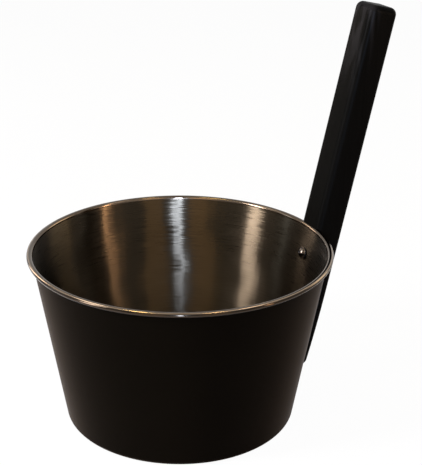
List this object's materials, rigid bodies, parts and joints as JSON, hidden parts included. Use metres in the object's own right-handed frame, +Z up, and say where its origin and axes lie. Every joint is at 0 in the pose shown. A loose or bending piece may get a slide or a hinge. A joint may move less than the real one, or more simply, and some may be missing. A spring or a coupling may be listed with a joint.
{
  "type": "sauna bucket",
  "caption": "Tapered sauna bucket of drawn steel, bare inside and black outside, with a rolled rim and a straight black wooden bar handle screwed through its wall.",
  "frame": {"origin": "centre of the bucket's round flat base, on the surface that it stands on", "axes": "+Z up along the bucket's axis, +X towards the handle, +Y completes a right-handed frame; the bucket is symmetric about the XZ plane"},
  "size_m": [0.3008, 0.24, 0.3219],
  "materials": {
    "black_coat": "satin black baked coat outside, bare brushed steel inside and on the rim bead",
    "black_wood": "satin black stain on fine-grained wood",
    "stainless_steel": "brushed inside the bucket, polished on the screw heads",
    "black_rubber": "matt",
    "brass": "turned"
  },
  "bodies": {
    "root": {"bucket_body": "black_coat", "handle": "black_wood", "upper_screw": "stainless_steel", "lower_screw": "stainless_steel", "upper_washer": "stainless_steel", "lower_washer": "stainless_steel", "upper_seal": "black_rubber", "lower_seal": "black_rubber", "upper_insert": "brass", "lower_insert": "brass"}
  },
  "joints": []
}
